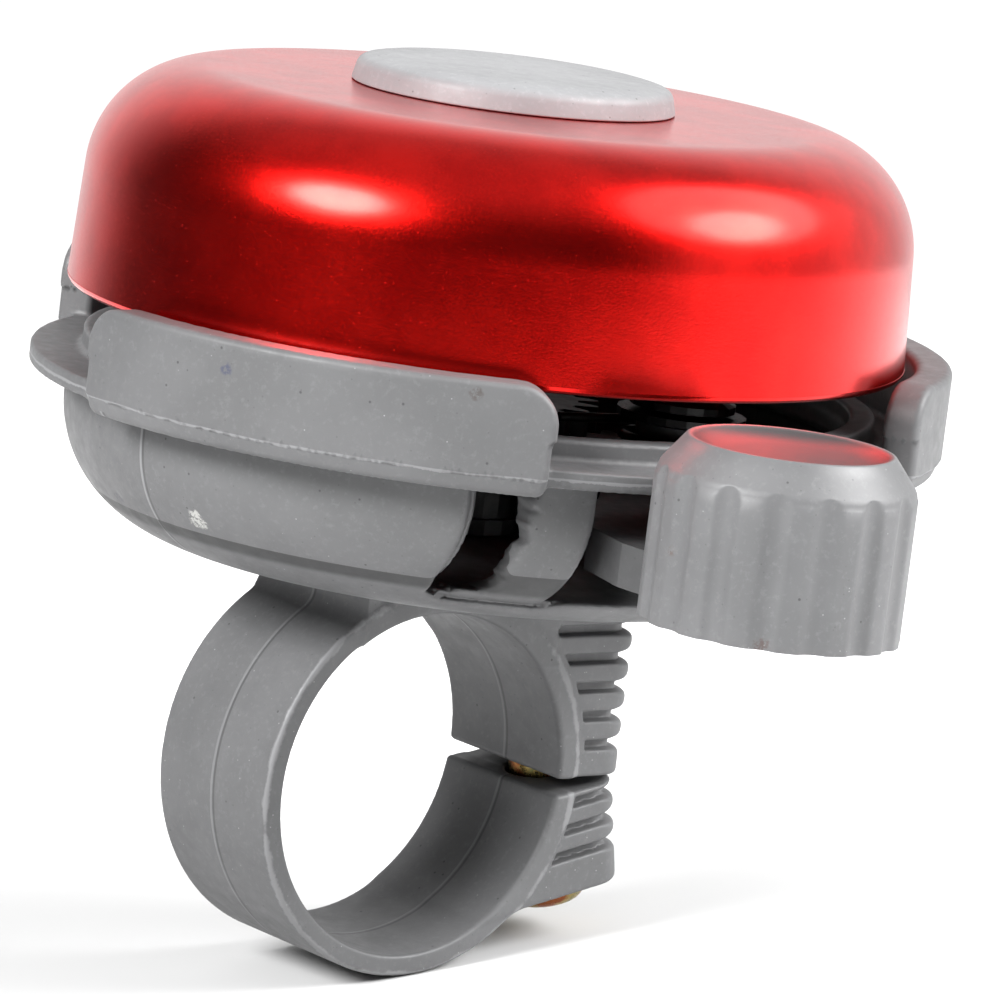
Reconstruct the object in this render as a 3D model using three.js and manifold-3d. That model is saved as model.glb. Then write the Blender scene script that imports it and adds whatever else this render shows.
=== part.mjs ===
// Bicycle bell: a spun aluminium dome over a moulded grey base with its own handlebar clamp ring.
// A thumb lever turns a geared rotor whose loose washers strike the inside of the dome.
// Millimetres, +Z up. The origin is the centre of the clamp ring, +X lies along the handlebar
// towards the grip, and the clamp ears point to +Y.

import * as THREE from "three";
import { mergeVertices } from "three/addons/utils/BufferGeometryUtils.js";
import Module from "manifold-3d";

// ---------------------------------------------------------------- driving dimensions
const GAP = 0.3; // between pieces that touch
const ROUND = 52; // facets of a large circle
const SMALL = 20; // facets of a small circle
const FINE = 14; // facets of a fastener

const BELL_Y = 5.4; // bell axis, forward of the handlebar axis
const DOME_R = 28.0;
const RIM_Z = 30.0; // lower edge of the dome
const DOME_WALL = 1.0;
const DOME_TAPER = THREE.MathUtils.degToRad(2.8);
const DOME_SIDE = 8.0; // height of the tapered side below the shoulder
const SHOULDER_R = 7.6;
const CROWN_SLOPE = THREE.MathUtils.degToRad(3.0);
const WELL_R = 9.0; // recess in the crown, under the cap
const WELL_Z = 42.8;
const CAP_R = 10.8;

const BOWL_R = 27.35;
const BOWL_BOTTOM = 14.1;
const BOWL_CORNER = 8.5;
const BOWL_INNER_R = 25.2;
const FLOOR_Z = 16.1;
const FLANGE_R = 29.9;
const FLANGE_Z = [24.4, 25.6];
const COLLAR = { outer: 26.5, inner: 24.8, top: 27.0 };
const FIN = { inner: 28.7, outer: 31.2, low: 23.8, high: 30.9, span: 63.5, corner: 2.6 };
const FIN_ANGLES = [-61.75, 58.25, 178.25]; // middle of each guard fin
const FIN_STEPS = 11;

const RING = { inner: 11.6, outer: 13.1, half: 5.9 };
const SLIT = { low: -1.25, high: -0.2 };
const EAR = { end: 18.0, corner: 2.5, groove: 0.7, depth: 0.8 };
const UPPER_GROOVES = { count: 5, first: 1.75, pitch: 2.0, start: 13.85 };
const LOWER_GROOVES = { count: 3, first: -4.75, pitch: -1.8, start: 13.5 };
const LOWER_TILT = THREE.MathUtils.degToRad(11);
const LOWER_EAR = { top: -3.5, bottom: -10.9, end: 17.4 };
const SCREW = { v: 14.1, r: 1.8, hole: 2.1, tip: 10.6 }; // axis at v, measured along the lower ear
const NUT = { low: 7.2, high: 10.2, across: 7 };
const WASHER = 0.5; // thickness, under the screw's head

const WINDOW = { near: 14, low: FLOOR_Z, high: FLANGE_Z[0] };
const SLOT_Y = [-16.5, -13.4]; // narrow window, from the bell axis
const STRAP_EDGE = -9.85; // the strap between the windows ends here
const LEVER_WINDOW_END = 12.0;

const LEVER = { x: 6.0, y: 13.0, low: 18.3, high: 21.1, hub: 4.6, travel: 25 };
const ARM = { side: -9.5, width: 5.7, bend: 27.2 };
const KNOB = { x: 38.4, y: -6.6, r: 8.2, low: 18.2, shoulder: 27.7, high: 29.7, flutes: 16 };

const MODULE = 0.8;
const PRESSURE = THREE.MathUtils.degToRad(25);
const TEETH = { sector: 36, pinion: 10, wheel: 24, rotor: 10 };
const SECTOR_TEETH = { first: -4, last: 0 };
const WHEEL_Z = [21.6, 23.4];

const POST_R = 2.9;
const CARRIER = { low: 31.6, high: 32.6, pinR: 21.0 };
const STRIKER = { outer: 5.0, inner: 3.3, thick: 1.6, pin: 2.0, rest: -0.6 };

const GREY = 0x878a8d;
const DARK = 0x2e2f31;
const STEEL = 0xb4b7ba;

// ---------------------------------------------------------------- solids
const wasm = await Module();
wasm.setup();

// A closed, merged, outward-facing copy of a geometry.
function closed(geometry) {
  const bare = geometry.clone();
  for (const name of ["normal", "uv", "uv1"]) bare.deleteAttribute(name);
  const merged = mergeVertices(bare, 1e-4);
  const position = merged.getAttribute("position");
  const index = merged.getIndex().array;
  const corner = [new THREE.Vector3(), new THREE.Vector3(), new THREE.Vector3()];
  const kept = [];
  let volume = 0;
  for (let i = 0; i < index.length; i += 3) {
    const [a, b, c] = [index[i], index[i + 1], index[i + 2]];
    if (a === b || b === c || c === a) continue;
    kept.push(a, b, c);
    [a, b, c].forEach((v, n) => corner[n].fromBufferAttribute(position, v));
    volume += corner[0].dot(corner[1].clone().cross(corner[2]));
  }
  if (volume < 0) kept.reverse();
  merged.setIndex(kept);
  return merged;
}

function toSolid(geometry) {
  const shape = closed(geometry);
  return new wasm.Manifold(
    new wasm.Mesh({
      numProp: 3,
      vertProperties: new Float32Array(shape.getAttribute("position").array),
      triVerts: new Uint32Array(shape.getIndex().array),
    }),
  );
}

function toGeometry(solid) {
  const mesh = solid.getMesh();
  const geometry = new THREE.BufferGeometry();
  const points = new Float32Array(mesh.numVert * 3);
  for (let i = 0; i < mesh.numVert; i += 1) {
    for (let k = 0; k < 3; k += 1) points[3 * i + k] = mesh.vertProperties[mesh.numProp * i + k];
  }
  geometry.setAttribute("position", new THREE.BufferAttribute(points, 3));
  geometry.setIndex(new THREE.BufferAttribute(new Uint32Array(mesh.triVerts), 1));
  return geometry;
}

const join = (first, ...rest) => rest.reduce((all, next) => all.add(next), first);
const cut = (first, ...rest) => rest.reduce((all, next) => all.subtract(next), first);

// Revolves (radius, height) points about Z.
function lathe(profile, segments = ROUND) {
  const points = profile.map(([r, z]) => new THREE.Vector2(r, z));
  return new THREE.LatheGeometry(points, segments).rotateX(Math.PI / 2);
}

// A ring or, with no inner radius, a disc, standing on z = low.
function round(inner, outer, low, high, segments = SMALL) {
  const side = [[outer, low], [outer, high]];
  if (inner > 0) return lathe([[inner, low], ...side, [inner, high], [inner, low]], segments);
  return lathe([[0, low], ...side, [0, high]], segments);
}

function plate(shape, low, high, curveSegments = 12) {
  const options = { depth: high - low, bevelEnabled: false, curveSegments };
  return new THREE.ExtrudeGeometry(shape, options).translate(0, 0, low);
}

function box(x, y, z) {
  const size = [x, y, z].map(([low, high]) => high - low);
  const middle = [x, y, z].map(([low, high]) => (high + low) / 2);
  return new THREE.BoxGeometry(...size).translate(...middle);
}

// A cylinder along X through the ring centre.
function barrel(radius, half, segments = ROUND) {
  return new THREE.CylinderGeometry(radius, radius, 2 * half, segments).rotateZ(Math.PI / 2);
}

function arc(cx, cy, radius, from, to, steps) {
  const points = [];
  for (let i = 0; i <= steps; i += 1) {
    const a = from + ((to - from) * i) / steps;
    points.push([cx + radius * Math.cos(a), cy + radius * Math.sin(a)]);
  }
  return points;
}

function polar(radius, degrees) {
  const a = THREE.MathUtils.degToRad(degrees);
  return [radius * Math.cos(a), radius * Math.sin(a)];
}

const outline = (points) => new THREE.Shape(points.map(([x, y]) => new THREE.Vector2(x, y)));

// ---------------------------------------------------------------- the assembly
const bicycleBell = new THREE.Group();
const bell = new THREE.Group(); // everything placed from the bell axis
bell.position.set(0, BELL_Y, 0);
const lowerEar = new THREE.Group(); // the clamp screw leans with the lower ear
lowerEar.rotation.x = LOWER_TILT;
bicycleBell.add(bell, lowerEar);

function finish(color, roughness, metalness) {
  return new THREE.MeshStandardMaterial({ color, roughness, metalness });
}

function piece(name, shape, material, parent = bell, place = [0, 0, 0]) {
  const geometry = shape instanceof THREE.BufferGeometry ? closed(shape) : toGeometry(shape);
  geometry.computeVertexNormals();
  const mesh = new THREE.Mesh(geometry, material);
  mesh.name = name;
  mesh.position.set(...place);
  parent.add(mesh);
}

// ---------------------------------------------------------------- base housing
function bowl() {
  const centre = BOWL_BOTTOM + BOWL_CORNER;
  const foot = BOWL_R - BOWL_CORNER;
  const quarter = arc(foot, centre, BOWL_CORNER, -Math.PI / 2, 0, 9);
  const inner = arc(BOWL_INNER_R - 5.5, FLOOR_Z + 5.5, 5.5, 0, -Math.PI / 2, 6);
  const profile = [
    [0, BOWL_BOTTOM],
    ...quarter,
    [BOWL_R, FLANGE_Z[0]],
    [FLANGE_R, FLANGE_Z[0]],
    [FLANGE_R, FLANGE_Z[1]],
    [COLLAR.outer, FLANGE_Z[1]],
    [COLLAR.outer, COLLAR.top],
    [COLLAR.inner, COLLAR.top],
    [COLLAR.inner, FLANGE_Z[0]],
    ...inner,
    [0, FLOOR_Z],
  ];
  return toSolid(lathe(profile, 60));
}

// One guard fin: a band of the outer edge, with its upper corners rounded.
function fin(middle) {
  const half = FIN.span / 2;
  const outer = [];
  const inner = [];
  for (let i = 0; i <= FIN_STEPS; i += 1) {
    const a = -half + (FIN.span * i) / FIN_STEPS;
    outer.push(polar(FIN.outer, a));
    inner.unshift(polar(FIN.inner, a));
  }
  const band = toSolid(plate(outline([...outer, ...inner]), FIN.low, FIN.high));
  const w = FIN.outer * Math.sin(THREE.MathUtils.degToRad(half));
  const r = FIN.corner;
  const top = [
    ...arc(w - r, FIN.high - r, r, 0, Math.PI / 2, 5),
    ...arc(r - w, FIN.high - r, r, Math.PI / 2, Math.PI, 5),
  ];
  const front = plate(outline([[w, FIN.low - 1], ...top, [-w, FIN.low - 1]]), 10, 40);
  front.rotateX(Math.PI / 2).rotateZ(Math.PI / 2);
  const rounded = band.intersect(toSolid(front));
  return rounded.rotate([0, 0, middle]);
}

// Plan outline of an ear, with its outer corners rounded.
function earPlan(end, inset) {
  const w = RING.half - inset;
  const r = Math.max(EAR.corner - inset, 0.4);
  const y = end - inset;
  return outline([
    [-w, 4],
    [w, 4],
    ...arc(w - r, y - r, r, 0, Math.PI / 2, 4),
    ...arc(r - w, y - r, r, Math.PI / 2, Math.PI, 4),
  ]);
}

// The grip grooves that run round the sides and end of an ear.
function grooves(end, { count, first, pitch, start }) {
  const slabs = [];
  for (let i = 0; i < count; i += 1) {
    const z = first + i * pitch;
    slabs.push(toSolid(box([-9, 9], [0, 22], [z, z + EAR.groove])));
  }
  const core = toSolid(plate(earPlan(end, EAR.depth), -15, 15));
  return cut(join(...slabs), core, toSolid(barrel(start, 12)));
}

function upperEar() {
  const block = toSolid(plate(earPlan(EAR.end, 0), SLIT.high, BOWL_BOTTOM + 1));
  return cut(block, grooves(EAR.end, UPPER_GROOVES));
}

function lowerEarBlock() {
  const block = toSolid(plate(earPlan(LOWER_EAR.end, 0), LOWER_EAR.bottom, LOWER_EAR.top));
  const ribbed = cut(block, grooves(LOWER_EAR.end, LOWER_GROOVES));
  return ribbed.rotate([THREE.MathUtils.radToDeg(LOWER_TILT), 0, 0]);
}

// The screw's hole through both ears, and the pocket that holds its nut, open to -X.
function screwHole() {
  const side = NUT.across / 2 + GAP;
  const hole = round(0, SCREW.hole, -14, SCREW.tip + GAP).translate(0, SCREW.v, 0);
  const pocket = box([-9, 4.4], [SCREW.v - side, SCREW.v + side], [NUT.low - GAP, NUT.high + GAP]);
  const tilt = [THREE.MathUtils.radToDeg(LOWER_TILT), 0, 0];
  return join(toSolid(hole), toSolid(pocket)).rotate(tilt);
}

function windowCut(low, high) {
  return box([WINDOW.near, 40], [low, high], [WINDOW.low, WINDOW.high]);
}

function leverSpots() {
  return [
    [LEVER.x, LEVER.y, 3.4],
    [...idlerPlace(), 3.0],
  ];
}

function baseHousing() {
  const bosses = leverSpots().map(([x, y, r]) =>
    toSolid(round(0, r, FLOOR_Z - 1, LEVER.low - GAP).translate(x, y, 0)),
  );
  const pinHoles = leverSpots().map(([x, y]) =>
    toSolid(round(0, 1.9, FLOOR_Z - 1.2, 30, FINE).translate(x, y, 0)),
  );
  const windows = [windowCut(...SLOT_Y), windowCut(STRAP_EDGE, LEVER_WINDOW_END)].map(toSolid);
  const spigot = toSolid(round(0, 2.8, 12.4, 20));
  const top = join(cut(bowl(), ...windows), ...FIN_ANGLES.map(fin), ...bosses);
  const saddle = toSolid(box([-RING.half, RING.half], [-6.5, 10], [8, BOWL_BOTTOM + 0.8]));
  const ring = cut(
    join(toSolid(barrel(RING.outer, RING.half)), saddle, upperEar(), lowerEarBlock()),
    toSolid(barrel(RING.inner, 9)),
    toSolid(box([-9, 9], [8, 15], [SLIT.low, SLIT.high])),
    screwHole(),
  );
  return cut(join(top, ring.translate([0, -BELL_Y, 0])), ...pinHoles, spigot).translate([0, BELL_Y, 0]);
}

// ---------------------------------------------------------------- gears
// Tooth half angle at radius r of an involute gear with a little backlash.
function toothHalfAngle(teeth, r) {
  const pitch = (MODULE * teeth) / 2;
  const base = pitch * Math.cos(PRESSURE);
  const inv = (a) => Math.tan(a) - a;
  const here = Math.acos(Math.min(1, base / Math.max(r, base)));
  return 0.44 * (Math.PI / teeth) + inv(PRESSURE) - inv(here);
}

// Outline of the teeth first..last, tooth 0 centred on the angle start.
function toothPoints(teeth, start, first, last) {
  const pitch = (MODULE * teeth) / 2;
  const radii = [pitch - 1.05 * MODULE, pitch - 0.3 * MODULE, pitch + 0.25 * MODULE, pitch + 0.8 * MODULE];
  const points = [];
  for (let k = first; k <= last; k += 1) {
    const middle = start + (2 * Math.PI * k) / teeth;
    const left = radii.map((r) => [r, middle - toothHalfAngle(teeth, r)]);
    const right = radii.map((r) => [r, middle + toothHalfAngle(teeth, r)]).reverse();
    points.push(...[...left, ...right].map(([r, a]) => [r * Math.cos(a), r * Math.sin(a)]));
  }
  return points;
}

function gear(teeth, start, low, high) {
  return toSolid(plate(outline(toothPoints(teeth, start, 0, teeth - 1)), low, high));
}

const pitchR = (teeth) => (MODULE * teeth) / 2;
const toLever = (x, y) => Math.atan2(LEVER.y - y, LEVER.x - x);

// The idler sits where it meshes with both the lever's sector and the rotor's pinion.
function idlerPlace() {
  const fromAxis = pitchR(TEETH.wheel) + pitchR(TEETH.rotor);
  const fromLever = pitchR(TEETH.sector) + pitchR(TEETH.pinion);
  const apart = Math.hypot(LEVER.x, LEVER.y);
  const cosine = (apart ** 2 + fromAxis ** 2 - fromLever ** 2) / (2 * apart * fromAxis);
  const angle = Math.atan2(LEVER.y, LEVER.x) + Math.acos(cosine);
  return [fromAxis * Math.cos(angle), fromAxis * Math.sin(angle)];
}

function idlerGear() {
  const [x, y] = idlerPlace();
  const gapToLever = toLever(x, y) + Math.PI / TEETH.pinion;
  const toAxis = Math.atan2(-y, -x);
  const pinion = gear(TEETH.pinion, gapToLever, LEVER.low, WHEEL_Z[0] + 0.2);
  const wheel = gear(TEETH.wheel, toAxis, ...WHEEL_Z);
  return cut(join(pinion, wheel), toSolid(round(0, 1.7, 10, 40, FINE)));
}

function rotorPinion() {
  const [x, y] = idlerPlace();
  const gapToIdler = Math.atan2(y, x) + Math.PI / TEETH.rotor;
  const teeth = gear(TEETH.rotor, gapToIdler, 21.3, 23.7);
  const sleeve = toSolid(round(0, 4.1, 23.5, CARRIER.low - GAP));
  const neck = toSolid(round(0, 3.6, CARRIER.low - 1, 34.2));
  const bore = toSolid(round(0, POST_R + 0.15, 10, 45));
  return cut(join(teeth, sleeve, neck), bore);
}

// ---------------------------------------------------------------- lever and knob
function leverOutline() {
  const hub = arc(0, 0, LEVER.hub, -0.1, 1.2, 5);
  const bend = ARM.bend - LEVER.x;
  const tip = KNOB.x + 3.2 - LEVER.x;
  const near = ARM.side - LEVER.y;
  const far = near + ARM.width;
  return outline([[-4, -2.2], [bend - 5.2, near + 1.6], [bend, near], [tip, near], [tip, far],
    [bend - 0.2, far], ...hub, [-4, 3]]);
}

// The toothed sector on the far side of the hub.
function sector() {
  const [x, y] = idlerPlace();
  const aim = toLever(x, y) + Math.PI;
  const teeth = toothPoints(TEETH.sector, aim, SECTOR_TEETH.first, SECTOR_TEETH.last);
  const web = [[1.5, -3.5], ...[...teeth].reverse(), [1.0, 4.0]];
  return toSolid(plate(outline(web), LEVER.low + 0.2, LEVER.high - 0.2));
}

function thumbLever() {
  const arm = toSolid(plate(leverOutline(), LEVER.low, LEVER.high));
  const hub = toSolid(round(0, LEVER.hub, LEVER.low, LEVER.high));
  const sleeve = toSolid(round(0, 3.0, LEVER.high - 1, 24.3));
  const peg = toSolid(
    round(0, 2.5, LEVER.high - 1, 26.0).translate(KNOB.x - LEVER.x, KNOB.y - LEVER.y, 0),
  );
  const bore = toSolid(round(0, 1.75, 10, 40, FINE));
  return cut(join(arm, hub, sector(), sleeve, peg), bore);
}

function thumbKnob() {
  const body = toSolid(round(0, KNOB.r, KNOB.low, KNOB.shoulder, 48));
  const scoops = [];
  for (let i = 0; i < KNOB.flutes; i += 1) {
    const [x, y] = polar(KNOB.r + 0.9, (360 * i) / KNOB.flutes);
    scoops.push(toSolid(round(0, 1.35, KNOB.low - 1, KNOB.shoulder + 1, 10).translate(x, y, 0)));
  }
  const crown = [
    [0, KNOB.shoulder - 2],
    [KNOB.r - 0.1, KNOB.shoulder - 0.4],
    ...arc(KNOB.r - 1.8, KNOB.high - 1.8, 1.7, 0.1, Math.PI / 2, 4),
    [KNOB.r - 2.4, KNOB.high - 0.2],
    [3, KNOB.high - 0.7],
    [0, KNOB.high - 0.8],
  ];
  const armSlot = box([-12, 3.6], [-ARM.width / 2 - 0.35, ARM.width / 2 + 0.35], [17, LEVER.high + GAP]);
  const bore = round(0, 2.8, 17, 26.4);
  return cut(
    join(cut(body, ...scoops), toSolid(lathe(crown, 32))),
    toSolid(armSlot.translate(0, ARM.side + ARM.width / 2 - KNOB.y, 0)),
    toSolid(bore),
  );
}

// A torsion spring round the lever's hub, with one leg to the wall and one over the arm.
function leverSpring() {
  const turns = 2.6;
  const radius = 3.85;
  const low = 21.9;
  const rise = 0.75;
  const points = [new THREE.Vector3(...polar(9.0, -58), low)];
  const steps = Math.round(turns * 14);
  for (let i = 0; i <= steps; i += 1) {
    const turn = (turns * i) / steps;
    points.push(new THREE.Vector3(...polar(radius, -20 + 360 * turn), low + rise * turn));
  }
  const top = low + rise * turns;
  points.push(new THREE.Vector3(...polar(8.2, 235), top));
  const wire = new THREE.Shape(arc(0, 0, 0.33, 0, 1.667 * Math.PI, 5).map(([x, y]) => new THREE.Vector2(x, y)));
  const path = new THREE.CatmullRomCurve3(points, false, "centripetal");
  return new THREE.ExtrudeGeometry(wire, { steps: 70, extrudePath: path });
}

// ---------------------------------------------------------------- dome and cap
function domeProfile() {
  const side = [
    [DOME_R, RIM_Z],
    [DOME_R - DOME_SIDE * Math.sin(DOME_TAPER), RIM_Z + DOME_SIDE * Math.cos(DOME_TAPER)],
  ];
  const cx = side[1][0] - SHOULDER_R * Math.cos(DOME_TAPER);
  const cz = side[1][1] - SHOULDER_R * Math.sin(DOME_TAPER);
  const from = DOME_TAPER;
  const to = Math.PI / 2 - CROWN_SLOPE;
  const shoulder = arc(cx, cz, SHOULDER_R, from, to, 6);
  const inside = arc(cx, cz, SHOULDER_R - DOME_WALL, to, from, 4);
  const crownZ = shoulder.at(-1)[1] + 0.35;
  return {
    outer: [side[0], ...shoulder, [WELL_R + 1.2, crownZ], [WELL_R, crownZ - 0.8], [WELL_R - 0.4, WELL_Z]],
    inner: [...[[WELL_R + 0.7, WELL_Z - DOME_WALL], [WELL_R + 1.6, crownZ - DOME_WALL - 0.3]], ...inside,
      [DOME_R - DOME_WALL, RIM_Z]],
  };
}

function dome() {
  const { outer, inner } = domeProfile();
  const hole = 2.6;
  return lathe([...outer, [hole, WELL_Z], [hole, WELL_Z - DOME_WALL], ...inner, outer[0]], 56);
}

function topCap() {
  const crown = domeProfile().outer.at(-3)[1] + GAP;
  const edge = arc(CAP_R - 0.8, crown + 0.6, 0.8, 0, Math.PI / 2, 3);
  return lathe(
    [[0, 46.75], [6.4, 46.55], [7.0, 46.0], [7.2, 43.5], [8.1, 43.5], [8.2, crown], [CAP_R, crown],
      ...edge, [6, crown + 1.75], [0, crown + 1.95]],
    36,
  );
}

// ---------------------------------------------------------------- post, rotor and strikers
function centerPost() {
  return lathe([[0, 12.8], [2.5, 12.8], [2.5, FLOOR_Z + GAP], [4.2, FLOOR_Z + GAP], [4.2, 17.4],
    [3.6, 17.4], [3.6, 21.0], [POST_R, 21.0], [POST_R, 34.8], [POST_R - 0.5, 34.8], [POST_R - 0.5, 35.5],
    [POST_R, 35.5], [POST_R, 40.6], [2.3, 40.6], [2.3, 46.1], [0, 46.1]], SMALL);
}

function carrier() {
  const r = CARRIER.pinR;
  const end = 3.4;
  const waist = 4.6;
  const lobe = arc(r, 0, end, -Math.PI / 2, Math.PI / 2, 8);
  const half = [[waist, -waist], ...lobe, [waist, waist]];
  const plan = outline([...half, ...half.map(([x, y]) => [-x, -y])]);
  const holes = [0, 180].map((a) => {
    const [x, y] = polar(r, a);
    return toSolid(round(0, 1.55, 30, 34, FINE).translate(x, y, 0));
  });
  return cut(toSolid(plate(plan, CARRIER.low, CARRIER.high)), toSolid(round(0, 3.9, 30, 34)), ...holes);
}

// A shouldered rivet: foot under the carrier, journal for the striker, head above it.
function strikerPin() {
  const low = CARRIER.low;
  const top = CARRIER.high + GAP + STRIKER.thick + 2 * GAP;
  return lathe([[0, low - 1.1], [2.4, low - 1.1], [2.4, low - GAP], [1.3, low - GAP], [1.3, CARRIER.high + GAP],
    [STRIKER.pin, CARRIER.high + GAP], [STRIKER.pin, top], [3.7, top], [3.7, top + 0.4], [2.6, top + 0.8],
    [0, top + 0.8]], FINE);
}

function rivet(radius, low, shoulder, head) {
  return lathe([[0, low], [radius, low], [radius, shoulder], [head, shoulder], [head, shoulder + 0.5],
    [head - 0.8, shoulder + 0.9], [0, shoulder + 0.9]], SMALL);
}

function hexNut(across, bore, low, high) {
  const points = arc(0, 0, across / Math.sqrt(3), 0, (5 / 3) * Math.PI, 5);
  return cut(toSolid(plate(outline(points), low, high)), toSolid(round(0, bore, low - 1, high + 1)));
}

// A spring washer: a ring with one gap in it.
function lockWasher(inner, outer, low, high) {
  const ring = toSolid(round(inner, outer, low, high));
  return cut(ring, toSolid(box([inner - 1, outer + 1], [-0.35, 0.35], [low - 1, high + 1])));
}

// A retaining clip in the post's groove, open on one side.
function retainingClip() {
  const ring = toSolid(round(POST_R - 0.35, 4.4, 34.95, 35.4));
  return cut(ring, toSolid(box([0, 6], [-1.5, 1.5], [33, 37])));
}

// ---------------------------------------------------------------- clamp screw
function clampScrew() {
  const low = LOWER_EAR.bottom - WASHER - 2 * GAP;
  const head = lathe([[0, low - 1.5], [1.8, low - 1.5], [3.0, low - 1.0], [3.4, low - 0.4], [3.4, low], [SCREW.r, low],
    [SCREW.r, SCREW.tip], [0, SCREW.tip]], SMALL);
  const slots = [
    box([-2.2, 2.2], [-0.45, 0.45], [low - 3, low - 0.8]),
    box([-0.45, 0.45], [-2.2, 2.2], [low - 3, low - 0.8]),
  ];
  return cut(toSolid(head), ...slots.map(toSolid));
}

// ---------------------------------------------------------------- build
const plastic = finish(GREY, 0.5, 0.0);
const darkPlastic = finish(DARK, 0.55, 0.0);
const steel = finish(STEEL, 0.35, 0.9);
const zinc = finish(0xb99a45, 0.35, 0.9);
const anodised = finish(0xc4121a, 0.28, 0.85);

piece("base_housing", baseHousing(), plastic, bicycleBell);
piece("dome", dome(), anodised);
piece("top_cap", topCap(), plastic);
piece("dome_nut", hexNut(8, 2.5, 44.3, 46.0), steel);
piece("dome_lock_washer", lockWasher(2.6, 4.3, WELL_Z + GAP, 44.0), steel);
piece("dome_seat_washer", round(3.0, 5.2, 40.6, 41.5), steel);
piece("center_post", centerPost(), steel);

piece("rotor_pinion", rotorPinion(), darkPlastic);
piece("striker_carrier", carrier(), steel);
piece("rotor_thrust_washer", round(POST_R + 0.2, 4.6, 34.35, 34.7), steel);
piece("rotor_retaining_clip", retainingClip(), steel);
for (const [side, sign] of [["right", 1], ["left", -1]]) {
  const low = CARRIER.high + GAP;
  const washer = round(STRIKER.inner, STRIKER.outer, low, low + STRIKER.thick, SMALL);
  piece(`striker_pin_${side}`, strikerPin(), steel, bell, [sign * CARRIER.pinR, 0, 0]);
  piece(`striker_washer_${side}`, washer, steel, bell, [sign * (CARRIER.pinR + STRIKER.rest), 0, 0]);
}

const [idlerX, idlerY] = idlerPlace();
piece("idler_gear", idlerGear(), darkPlastic, bell, [idlerX, idlerY, 0]);
piece("idler_pin", rivet(1.5, 15.2, WHEEL_Z[1] + GAP, 3.0), steel, bell, [idlerX, idlerY, 0]);

const leverPlace = [LEVER.x, LEVER.y, 0];
piece("thumb_lever", thumbLever(), plastic, bell, leverPlace);
piece("thumb_knob", thumbKnob(), plastic, bell, [KNOB.x, KNOB.y, 0]);
piece("lever_pin", rivet(1.55, 15.2, 25.4, 3.6), steel, bell, leverPlace);
piece("lever_washer", round(1.8, 4.4, 24.6, 25.1), steel, bell, leverPlace);
piece("lever_spring", leverSpring(), steel, bell, leverPlace);

piece("clamp_screw", clampScrew(), zinc, lowerEar, [0, SCREW.v, 0]);
const washerLow = LOWER_EAR.bottom - GAP - WASHER;
piece("clamp_washer", round(2.1, 3.9, washerLow, washerLow + WASHER), zinc, lowerEar, [0, SCREW.v, 0]);
piece("clamp_nut", hexNut(NUT.across, 2.05, NUT.low, NUT.high), zinc, lowerEar, [0, SCREW.v, 0]);

export default bicycleBell;
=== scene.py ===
"""Looks of the bicycle bell: a red anodised dome over a moulded grey base with its clamp ring.
Lengths in this script are millimetres, turned into metres as each mesh is made. Only the lights'
sizes and distances are metres from the start. The frame is the CAD's: origin at the clamp ring's
centre, +X along the handlebar, +Z up, clamp ears towards +Y."""

import math

import bmesh
import bpy
import numpy as np
from mathutils import Matrix, Vector


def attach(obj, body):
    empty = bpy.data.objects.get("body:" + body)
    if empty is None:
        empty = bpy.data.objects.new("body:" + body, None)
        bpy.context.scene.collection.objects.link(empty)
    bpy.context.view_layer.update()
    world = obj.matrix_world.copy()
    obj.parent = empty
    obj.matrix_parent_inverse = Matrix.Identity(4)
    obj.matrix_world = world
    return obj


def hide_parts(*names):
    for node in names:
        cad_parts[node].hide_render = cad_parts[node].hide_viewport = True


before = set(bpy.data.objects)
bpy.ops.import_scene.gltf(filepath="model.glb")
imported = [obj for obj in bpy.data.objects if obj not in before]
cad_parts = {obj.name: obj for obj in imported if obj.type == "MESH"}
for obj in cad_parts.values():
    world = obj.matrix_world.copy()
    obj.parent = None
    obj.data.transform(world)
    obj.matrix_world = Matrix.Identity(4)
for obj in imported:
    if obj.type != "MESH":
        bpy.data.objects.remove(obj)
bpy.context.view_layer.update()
MM = 0.001

# ---------------------------------------------------------------- dimensions, as in the CAD
BELL_Y = 5.4
RIM_Z = 30.0
DOME = {"r": 28.0, "wall": 1.0, "taper": 2.8, "side": 8.0, "shoulder": 7.6, "slope": 3.0}
WELL = {"r": 9.0, "z": 42.8}
CAP_R = 10.8
BOWL = {"r": 27.35, "bottom": 14.1, "corner": 8.5, "inner": 25.2, "floor": 16.1, "inner_corner": 5.5}
FLANGE = {"r": 29.9, "low": 24.4, "high": 25.6}
COLLAR = {"outer": 26.5, "inner": 24.8, "top": 27.0}
FIN = {"inner": 28.7, "outer": 31.2, "low": 23.8, "high": 30.9, "span": 63.5, "corner": 2.6}
FIN_ANGLES = (-61.75, 58.25, 178.25)
WINDOWS_Y = ((-16.5, -13.4), (-9.85, 12.0))
WINDOW_X = 14.0
# The slot's surround and the strap lie this deep inside the bowl's wall: middle and half sizes.
RECESS = {"y": -12.6, "z": 21.2, "half_y": 4.3, "half_z": 5.6, "corner": 2.2, "depth": 0.45}
RING = {"inner": 11.6, "outer": 13.1, "half": 5.9}
SLIT = {"low": -1.25, "high": -0.2}
EAR = {"end": 18.0, "corner": 2.5, "groove": 0.7, "depth": 0.8}
UPPER_GROOVES = {"count": 5, "first": 1.75, "pitch": 2.0, "start": 13.85}
LOWER_GROOVES = {"count": 3, "first": -4.75, "pitch": -1.8, "start": 13.5}
LOWER_EAR = {"top": -3.5, "bottom": -10.9, "end": 17.4, "tilt": 11.0}
SCREW = {"v": 14.1, "hole": 2.1, "tip": 10.6}
NUT = {"low": 7.2, "high": 10.2, "across": 7.0}
LEVER = {"x": 6.0, "y": 13.0, "low": 18.3}
GUSSET = {"r": 28.9, "turn": -1.2, "low": 25.0, "high": 28.2, "thick": 1.1}
PARTING_Z = 25.0  # height of the mould's parting line round the flange and fins
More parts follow.
